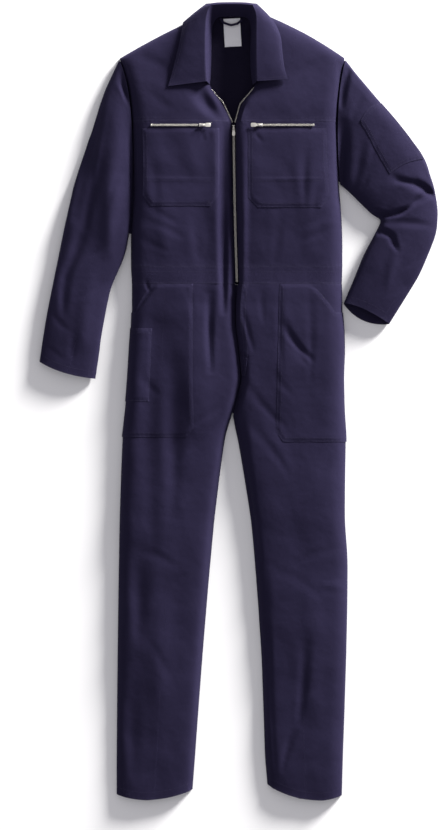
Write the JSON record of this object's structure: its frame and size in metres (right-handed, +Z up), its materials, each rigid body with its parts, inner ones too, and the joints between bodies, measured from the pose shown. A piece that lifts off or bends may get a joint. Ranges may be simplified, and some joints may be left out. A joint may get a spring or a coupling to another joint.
{
  "type": "boiler suit",
  "caption": "One-piece workwear suit with a shirt collar, front zip, zipped chest pockets, patch hip pockets and long sleeves, laid flat on its back.",
  "frame": {"origin": "on the surface the suit lies on, under the middle of its outline seen from above", "axes": "+Y from the hems to the collar, +Z up out of the front, -X towards the wearer's right sleeve"},
  "size_m": [0.81, 1.6184, 0.0395],
  "materials": {
    "navy_twill": "matt",
    "navy_twill_inside": "matt",
    "zip_tape": "matt",
    "nickel": "satin",
    "label_satin": "satin"
  },
  "bodies": {
    "root": {"front_yoke_right": "navy_twill", "front_yoke_left": "navy_twill", "front_bodice_right": "navy_twill", "front_bodice_left": "navy_twill", "front_waistband_right": "navy_twill", "front_waistband_left": "navy_twill", "front_leg_right": "navy_twill", "front_leg_left": "navy_twill", "sleeve_right": "navy_twill", "sleeve_left": "navy_twill", "collar": "navy_twill", "fly": "navy_twill", "chest_pocket_right": "navy_twill", "chest_pocket_left": "navy_twill", "hip_pocket_right": "navy_twill", "hip_pocket_left": "navy_twill", "rule_pocket": "navy_twill", "sleeve_pocket": "navy_twill", "hanger_loop": "navy_twill", "back_bodice": "navy_twill_inside", "back_waistband": "navy_twill_inside", "back_leg_right": "navy_twill_inside", "back_leg_left": "navy_twill_inside", "zip_tape_right": "zip_tape", "zip_tape_left": "zip_tape", "main_zip_chain": "nickel", "main_zip_teeth_right": "nickel", "main_zip_teeth_left": "nickel", "main_slider": "nickel", "chest_zip_right": "nickel", "chest_zip_left": "nickel", "chest_slider_right": "nickel", "chest_slider_left": "nickel", "care_label": "label_satin"},
    "main_pull": {"main_pull": "nickel"},
    "chest_pull_right": {"chest_pull_right": "nickel"},
    "chest_pull_left": {"chest_pull_left": "nickel"}
  },
  "joints": [
    {"name": "main_pull_swing", "type": "hinge", "parent": "root", "child": "main_pull", "pos_m": [-0.0107, 0.5543, 0.0125], "axis": [-1, 0, 0], "range_deg": [0, 150]},
    {"name": "chest_pull_right_swing", "type": "hinge", "parent": "root", "child": "chest_pull_right", "pos_m": [-0.075, 0.5583, 0.03677], "axis": [0, -1, 0], "range_deg": [0, 150]},
    {"name": "chest_pull_left_swing", "type": "hinge", "parent": "root", "child": "chest_pull_left", "pos_m": [0.042, 0.5583, 0.03748], "axis": [0, 1, 0], "range_deg": [0, 150]}
  ]
}
